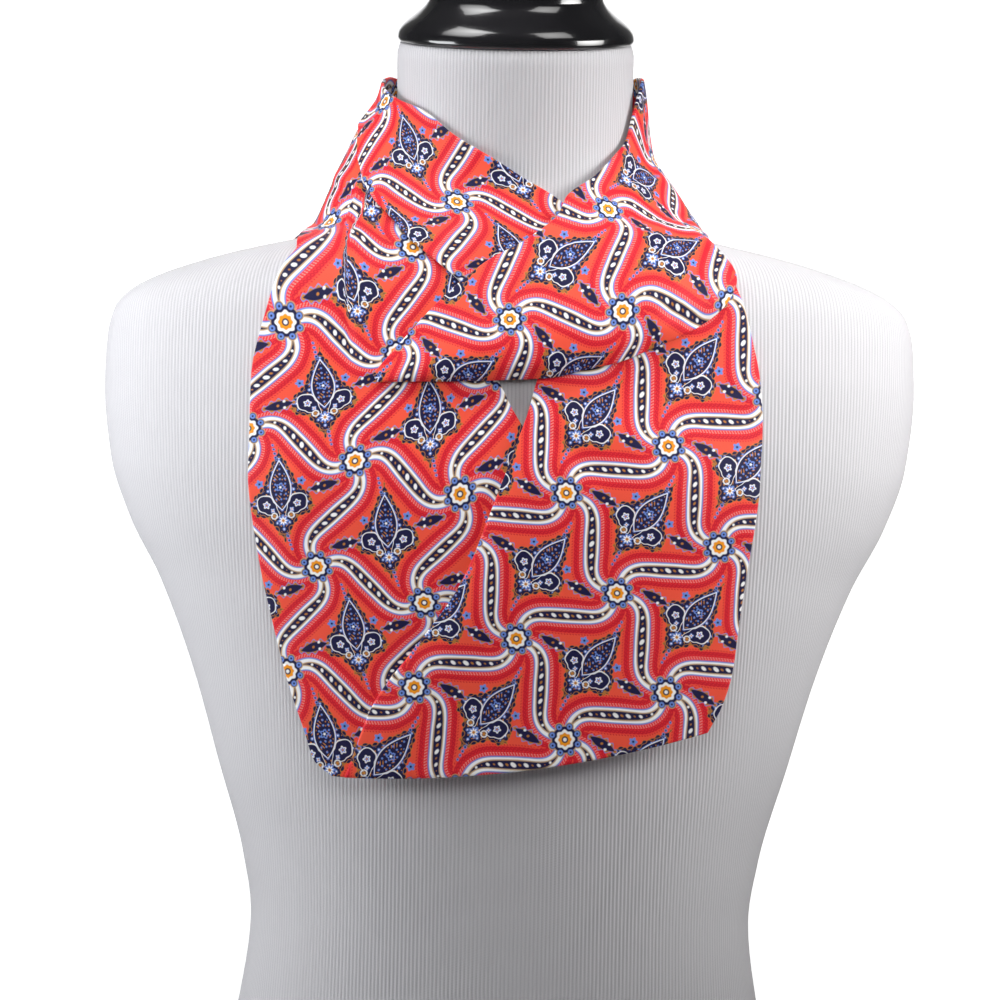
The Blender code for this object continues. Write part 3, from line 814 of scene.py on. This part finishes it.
def lean(along):
    """Cosine of the ribbon's slope, which turns a height above it into a distance from it."""
    turn = along * math.tau
    rise = turn.then("COSINE") * 0.754 + (turn * 2.0).then("COSINE") * 0.226
    return (rise * rise + 1.0).then("INVERSE_SQRT")


# Distance to the nearest ribbon, and the way along it from its middle.
to_level = abs((y - sway(x)).off_whole()) * lean(x)
to_upright = abs((x + sway(y)).off_whole()) * lean(y)
to_ribbon = lowest(to_level, to_upright)
level_nearer = to_level.then("LESS_THAN", to_upright)
along = y + (x - y) * level_nearer
from_middle = abs((along + 0.5).off_whole())
bow = from_middle * from_middle
outside = to_ribbon - bow.scaled(-0.13, 0.075)
# The ground: a deeper red beside the ribbons, with a row of crimson beads and lines of small dots.
colour = paint(RED, DEEP_RED, within(outside, 0.086, 0.01))
bead = both((along * 31.0).off_whole() / 31.0, outside - 0.064)
colour = paint(colour, CRIMSON, within(bead, 0.0165, 0.004))
colour = paint(colour, DEEP_RED, within(bead, 0.006))
dot_step = (along * 44.0).off_whole() / 44.0
for dot_colour, dots_out, dot_size in (
        (CRIMSON, 0.039, 0.0055), (PALE, 0.026, 0.0052), (PALE, 0.012, 0.0052), (CRIMSON, 0.096, 0.005)):
    colour = paint(colour, dot_colour, within(both(dot_step, outside - dots_out), dot_size))
# The bouquet, in its own frame: up the leaf and across it, with the two halves alike.
cell_x = (x + 0.5).off_whole()
cell_y = (y + 0.5).off_whole()
stem_across = cell_x * 0.914 + cell_y * 0.407
up = cell_y * 0.914 - cell_x * 0.407
out = abs(stem_across)
leaf_share = (up - 0.105) / 0.225
leaf_width = (leaf_share * leaf_share).scaled(-0.092, 0.092)
leaf = out - leaf_width * leaf_share.scaled(-0.3, 1.0)
petal_x = out - 0.12
petal_y = up + 0.088
petal_across = (petal_x - petal_y) * 0.707
petal_along = (petal_x + petal_y) * 0.707
petal_size = (petal_along * petal_along).scaled(3.5, 0.07)
petal = both(petal_across / petal_along.scaled(0.3, 0.068), petal_along * 8.2)
petal_ray = petal_across.then("ARCTAN2", petal_along)
petal = (petal - 1.0) * petal_size - (petal_ray * 6.0).then("COSINE") * 0.004
base = both(stem_across, up + 0.218)
scallop = (up * 105.0).then("SINE") * 0.008 + (out * 105.0).then("COSINE") * 0.008
bodice = out * 0.84 + abs(up + 0.03) * 0.58 - 0.188
bodice = lowest(bodice, petal - 0.026, leaf - 0.024, base - 0.06)
bouquet = bodice + scallop
colour = layers(colour, bodice - scallop, (OCHRE, 0.027), (NAVY, 0.021))
colour = layers(colour, bouquet, (OCHRE, 0.013), (NAVY, 0.005))
wander = (up * 38.0).then("SINE") * 2.2
wave = (up * 105.0 + (out * 46.0).then("COSINE") * 2.0).then("SINE")
scribble = (stem_across * 120.0 + wander).then("SINE") * wave
colour = paint(colour, OCHRE, within(scribble * -1.0, -0.62, 0.15) * within(bouquet, -0.012))
speck = both((stem_across * 17.0).off_whole(), (up * 17.0).off_whole())
colour = paint(colour, BLUE, within(speck, 0.24, 0.08) * within(bouquet, -0.004))
colour = paint(colour, WHITE, within(speck, 0.1, 0.06) * within(bouquet, -0.004))
colour = layers(colour, leaf, (BLUE, 0.011), (WHITE, 0.004), (NAVY, -0.004), soft=0.003)
colour = paint(colour, OCHRE, within(scribble, -0.68, 0.15) * within(leaf, -0.016))
leaf_speck = both((stem_across * 22.0).off_whole(), (up * 22.0 + 0.5).off_whole())
colour = paint(colour, BLUE, within(leaf_speck, 0.2, 0.08) * within(leaf, -0.02))
colour = layers(colour, petal, (WHITE, 0.005), (NAVY, -0.003), soft=0.003)


def blossom(under, over_x, over_y, size, petals, edge, middle, heart):
    """A small flower: its edge swings out and in by a fifth for each petal, round a middle and a heart."""
    far = both(over_x, over_y)
    ray = (over_y.then("ARCTAN2", over_x) * petals).then("COSINE")
    under = layers(under, far - ray * (size * 0.2), (edge, size), (middle, size * 0.62))
    return paint(under, heart, within(far, size * 0.3))


colour = blossom(colour, petal_across, petal_along - 0.03, 0.03, 5.0, WHITE, BLUE, OCHRE)
colour = blossom(colour, petal_across, petal_along + 0.045, 0.02, 4.0, BLUE, WHITE, OCHRE)
colour = blossom(colour, stem_across, up - 0.085, 0.036, 5.0, BLUE, NAVY, WHITE)
curl = both(out - 0.078, up + 0.17)
colour = paint(colour, WHITE, within(abs(curl - 0.026), 0.005))
colour = paint(colour, OCHRE, within(curl, 0.015))
colour = blossom(colour, stem_across, up + 0.218, 0.046, 8.0, BLUE, WHITE, OCHRE)
colour = blossom(colour, out - 0.19, up - 0.13, 0.034, 5.0, BLUE, BLUE, NAVY)
# The sprigs at the sides, the dotted tails above and below, and the small leaves round the bouquet.
sprig_up = up - stem_across * 0.17
sprig_share = (out - 0.385) / 0.125
sprig = abs(sprig_up) - (sprig_share * sprig_share).scaled(-0.04, 0.04)
sprig_edge = sprig + (out * 95.0).then("SINE") * 0.012
colour = layers(colour, sprig_edge, (BLUE, 0.018), (OCHRE, 0.009))
colour = paint(colour, NAVY, within(sprig, 0.001))
colour = paint(colour, WHITE, within(both(out - 0.335, abs(sprig_up) - 0.03), 0.012))
colour = paint(colour, OCHRE, within(both(out - 0.39, sprig_up), 0.011))
tail_height = abs(up)
tail_across = stem_across + up * tail_height * 0.22
tail_step = (tail_height * 25.0).off_whole() / 25.0
tail = both(tail_step, tail_across) - (tail_height - 0.33) * -0.03
tail_reach = within(abs(tail_height - 0.415), 0.085)
colour = paint(colour, BLUE, within(tail, 0.0165) * tail_reach)
colour = paint(colour, NAVY, within(tail, 0.009) * tail_reach)
# The ribbon: a blue line, a white band, a tan line and a navy core with white and ochre beads.
colour = layers(colour, outside, (BLUE, 0.0), (WHITE, -0.0125))
core = to_ribbon - bow.scaled(-0.24, 0.034)
colour = layers(colour, core, (TAN, 0.0125), (NAVY, 0.002))
pearl_count = (along * 20.0).then("ROUND")
pearl_step = (along * 20.0 - pearl_count) / 20.0
odd = pearl_count.then("PINGPONG", 1.0)
pearl_size = (odd * -0.009 + 0.0215) - from_middle * 0.036
colour = layers(colour, both(pearl_step, to_ribbon) - pearl_size, (paint(WHITE, OCHRE, odd), 0.0))
# The flower at each corner: eight blue beads on navy in a beige edge, a daisy, an amber ring and an eye.
flower_x = x.off_whole()
flower_y = y.off_whole()
flower = both(flower_x, flower_y)
eighth = flower_y.then("ARCTAN2", flower_x) * (4.0 / math.pi)
spread_cosine = (eighth.off_whole() * (math.pi / 4.0)).then("COSINE")
bead_ring = (flower * flower - flower * spread_cosine * 0.24 + 0.0144).then("MAXIMUM", 0.0).then("SQRT")
colour = paint(colour, TAN, within(lowest(flower - 0.124, bead_ring - 0.0375), 0.0))
colour = paint(colour, NAVY, within(lowest(flower - 0.115, bead_ring - 0.0295), 0.0))
colour = layers(colour, bead_ring, (BLUE, 0.024), (NAVY, 0.009))
daisy_wave = (eighth * math.tau).then("COSINE")
colour = paint(colour, WHITE, within(flower + daisy_wave * 0.007, 0.082))
colour = paint(colour, AMBER, within(flower + daisy_wave * 0.004, 0.056))
colour = layers(colour, flower, (NAVY, 0.0285), (WHITE, 0.0165))
# The twill: fine diagonal lines crossed by the weft, which break the gloss and soften the print with painted
# shade, a little darker towards navy in the weave's grooves.
twill = ((x + y) * (REPEAT / TWILL_STEP * math.tau)).then("SINE")
weft = ((x - y) * (REPEAT / WEFT_STEP * math.tau)).then("SINE")
weave = twill * 0.35 + weft * 0.15 + 0.5
colour = paint(colour, NAVY, weave.scaled(-0.14, 0.09, clamp=True))
colour.into(print_shader.inputs["Base Color"])
weave_relief = weave + add_noise(print_place, 9.0, 4.0) * 1.2
add_bump(weave_relief, print_shader, strength=0.3, distance=0.00025)
weave.scaled(-0.12, 0.62).into(print_shader.inputs["Roughness"])

# The upper turn in front and behind: from the corner under its own folded edge, up over the other
# turn to the right side of the neck, and round behind it. It is a soft roll, fullest near its lower edge.
PASSING = 1.35
ON_ONE = 2.7
SIDE_CUT = 97.0
UPPER_TURN = [
    # neck_edge, middle, outer_edge, neck_lift, outer_lift, swell
    facing(-68, 497.5, -67, 495.5, -65.5, 493.5, 3.2, 3.2, 0),
    facing(-55, 513, -50, 503, -46, 494, 3.4, 3.4, 3),
    facing(-34, 536, -28, 515, -24, 494.5, 4.6, 3.6, 6),
    facing(-13, 553.5, -6, 525, -2, 495.5, 5.4, 3.8, 8),
    facing(7, 565.5, 15, 531, 20, 497, 5.4, 3.8, 9),
    facing(21.5, 578, 33, 540, 40, 502, 5.2, 3.8, 9.5),
    facing(26, 589.5, 43, 547, 53, 505, 4.2, 3.6, 9.5),
    facing(38, 600.5, 60, 556, 70, 512.5, 2.6, 3.2, 9),
    facing(50, 614, 70, 566, 86, 520, 1, ON_ONE, 7.5),
    facing(56.5, 623, 71, 573, 95, 525.5, 0.4, ON_ONE, 5.5),
    (side(67, 637), side(56, 582), front(104, 532), 0.3, 2.9, 3.6),
    (side(73, 646.5), side(62.5, 590), front(112.5, 545), 0.3, 3.2, 2.8),
    (side(81, 653.5), side(71, 603), front(101.5, 566.5), 0.3, 1.4, 3),
    (side(89, 656.5), side(84, 614), side(81, 575), 0.3, 0.6, 3.5),
    around(SIDE_CUT, 658, 618, 577, 0.3, 0.9, 3.3),
    around(108, 659, 616, 573, 1.2, 2.3, 3.2),
    around(135, 656, 604, 556, ON_ONE, ON_ONE, 3),
    around(160, 651, 594, 541, ON_ONE, ON_ONE, 3),
    around(185, 646, 589, 534, ON_ONE, ON_ONE, 3),
    around(210, 640, 588, 537, ON_ONE, ON_ONE, 3),
    around(232, 634, 592, 550, ON_ONE, ON_ONE, 2.5),
    around(250, 629, 598, 568, 2.5, 2.5, 1.5),
    around(360 - SIDE_CUT, 629, 602, 574.5, PASSING, PASSING, 0),
]
ROLL = [(0.0, 0.0), (0.35, 0.45), (0.75, 1.0), (0.92, 0.7), (1.0, 0.0)]
UPPER_CREASES = [
    # from across, from height, to across, to height, height of the ridge, width
    (58, 612, 46, 585, -1.6, 5),
    (72, 530, 108, 524, -2.2, 4),
]
UPPER_FLOWERS = [
    # across, height, and the flower's place in the repeat
    (-0.3, 527.5, 0, 0),
    (55.2, 530.6, 0, 1),
    (48.7, 586.0, -1, 1),
    (110.4, 536.1, 0, 2),
]
upper_turn = make_cloth("upper_turn", UPPER_TURN, ROLL, UPPER_CREASES, UPPER_FLOWERS, 330, 56)
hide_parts("upper_right_stretch", "back_over_stretch")

# The left side of the hanging loop: it comes from behind the neck over the left shoulder, with a pleat
# down its upper part, and runs under the folded edge to the hem.
PLEAT = [(0.0, 0.0), (0.3, 0.1), (0.46, 1.0), (0.56, 0.1), (1.0, 0.0)]
LEFT_HANGING = [
    # neck_edge, middle, outer_edge, neck_lift, outer_lift, swell
    around(-SIDE_CUT, 629, 602, 574.5, PASSING, PASSING, 0),
    around(-84, 624, 599, 573.5, 0.3, 0.6, 1),
    (side(-69, 614), front(-79, 592), front(-109, 568.5), 0, 0.5, 2),
    facing(-59, 606, -82, 580, -110, 560, 0, 0.3, 3.2),
    facing(-38, 585, -85, 560, -122.5, 533, 0, 0.2, 4.5),
    facing(-17, 560, -83, 533, -129, 505, 0, 0, 3),
    facing(-16, 522, -76, 502, -130, 482, 0, 0, 1),
    facing(-1, 487, -66, 470, -130, 456, 0, 0, 0.3),
    facing(13, 457, -60, 441, -128, 429, 0, 0, 0),
    facing(4, 420, -62, 409, -123, 402, 0, 0, 0),
    facing(-14, 383, -68, 376, -116, 373, 0, 0, 0),
    facing(-38, 349, -75, 344, -108, 344, 0, 0, 0),
    facing(-53, 321, -78, 318, -99, 319, 0, 0, 0),
    facing(-61, 305, -79, 303, -94, 305, 0, 0, 0),
    facing(-64, 298, -75, 297, -85, 297.5, 0, 0, 0),
]
LEFT_CREASES = [
    # from across, from height, to across, to height, height of the ridge, width
    (-104, 470, -112, 380, 0.8, 9),
    (-80, 500, -84.5, 572, -1.4, 2.6),
    (-86, 545, -72, 606, -1.4, 2.6),
]
LEFT_FLOWERS = [
    # across, height, and the flower's place in the repeat
    (-130.4, 470.7, 0, 0),
    (-77.0, 454.4, 1, 0),
    (-23.8, 438.4, 2, 0),
    (-94.3, 401.7, 1, -1),
    (-40.7, 385.3, 2, -1),
    (-108.5, 349.5, 1, -2),
    (-95.0, 578.9, 0, 2),
    (-113.4, 524.5, 0, 1),
    (-56.4, 513.1, 1, 1),
    (-51.1, 564.0, 1, 2),
    (-79.1, 537.8, 0.5, 1.5),
]
LEFT_TUCK = [
    # height, across, width hidden
    (505, -80.2, 0),
    (525, -82.2, 3),
    (545, -83.8, 8),
    (560, -84.5, 11),
    (572, -83, 13),
    (582, -77.2, 14),
    (600, -74, 15),
]
left_hanging = make_cloth("left_hanging", LEFT_HANGING, PLEAT, LEFT_CREASES, LEFT_FLOWERS, 170, 64, LEFT_TUCK)
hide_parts("lower_left_stretch")

# The right side of the hanging loop: up from the folded hem, its edge folded over the left side, under
# the upper turn to the right side of the neck, and round behind it under the other turn.
FOLD_EDGE = [(0.0, 0.0), (0.12, 1.0), (0.3, 0.3), (1.0, 0.0)]
RIGHT_HANGING = [
    # neck_edge, middle, outer_edge, neck_lift, outer_lift, swell
    facing(-78, 297, 12, 302.5, 101, 322.5, ON_ONE, ON_ONE, 0),
    facing(-64, 335, 20, 325, 108, 336, ON_ONE, ON_ONE, 1),
    facing(-45, 362, 30, 352, 113, 354, ON_ONE, ON_ONE, 1.5),
    facing(-22, 396, 42, 385, 117, 388, ON_ONE, ON_ONE, 2),
    facing(-6, 437, 54, 425, 121.5, 418, ON_ONE, ON_ONE, 2),
    facing(8, 476, 67, 464, 125.5, 451, ON_ONE, 1.6, 1.5),
    facing(19, 510, 75, 493, 127, 475, 0, 0, 0),
    facing(44, 524, 86, 514, 125, 503, 0, 0, 0),
    facing(66, 546, 93, 538, 119, 530, 0, 0, 0),
    facing(72, 572, 86, 567, 100, 562.5, 0, 0, 0),
    (side(72, 590), side(71.5, 585), side(71, 580), 0, 0, 0),
    (side(85, 603), side(84, 595), side(83, 587), 0, 0, 0),
    around(SIDE_CUT, 606, 597, 588, 0, 0, 0),
    around(116, 608, 589, 569, 0, 0, 0),
    around(140, 617, 582, 547, 0, 0, 0),
    around(165, 632, 590, 546, 0, 0, 0),
    around(190, 644, 604, 564, 0, 0, 0),
    around(215, 652, 620, 588, 0, 0, 0),
    around(238, 656, 636, 616, 0, 0, 0),
    around(252, 657, 644, 631, 0.4, 0.4, 0),
    around(360 - SIDE_CUT, 655, 643, 631, PASSING, PASSING, 0),
]
RIGHT_CREASES = [
    # from across, from height, to across, to height, height of the ridge, width
    (18, 470, 52, 446, -0.9, 6),
    (30, 478, 70, 462, 0.8, 7),
]
RIGHT_FLOWERS = [
    # across, height, and the flower's place in the repeat
    (79.6, 464.6, -1, 1),
    (29.0, 440.9, -1, 0),
    (106.1, 415.4, 0, 1),
    (55.3, 391.6, 0, 0),
    (5.5, 367.8, 0, -1),
    (80.7, 342.7, 1, 0),
    (30.8, 318.7, 1, -1),
    (-44.4, 343.0, 0, -2),
]
right_hanging = make_cloth("right_hanging", RIGHT_HANGING, FOLD_EDGE, RIGHT_CREASES, RIGHT_FLOWERS, 330, 64)
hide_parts("lower_right_stretch", "back_under_stretch")

# The upper turn's left end: it comes round the left side of the neck, lies over the hanging side, and
# passes under the folded edge of the other end.
CROWN = [(0.0, 0.0), (0.5, 1.0), (1.0, 0.0)]
LEFT_UPPER = [
    # neck_edge, middle, outer_edge, neck_lift, outer_lift, swell
    around(-SIDE_CUT, 655, 643, 631, PASSING, PASSING, 0),
    around(-84, 650, 638, 626, PASSING, ON_ONE, 0),
    facing(-58, 641.5, -70, 626, -77, 608, 0.6, ON_ONE, 1.5),
    facing(-46, 635.5, -61, 614, -72, 592, 0.6, 3.3, 1.6),
    facing(-28, 621, -46, 600, -61.5, 578, 0.6, 3.4, 1.8),
    facing(-9, 609.5, -29, 586, -46, 561, 0.6, 3.2, 1.8),
    facing(7, 599, -13, 574, -33, 551, 0.6, ON_ONE, 1.5),
    facing(20, 591, -1, 566, -23, 543, 0.6, ON_ONE, 0.6),
    facing(36, 579, 11, 556, -14, 534, 0.6, ON_ONE, 0.3),
]
LEFT_UPPER_FLOWERS = [
    # across, height, and the place in the repeat, with the middles of two ribbons and of a bouquet
    (-27.8, 584.9, 0, 0),
    (27.4, 579.2, 1, 0),
    (-33.1, 528.7, 0, -1),
    (-55.4, 595.1, -0.5, 0),
    (-29.4, 608.1, 0, 0.5),
    (-51.4, 616.3, -0.5, 0.5),
]
left_upper = make_cloth("left_upper", LEFT_UPPER, CROWN, [], LEFT_UPPER_FLOWERS, 110, 44)
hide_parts("upper_left_stretch")
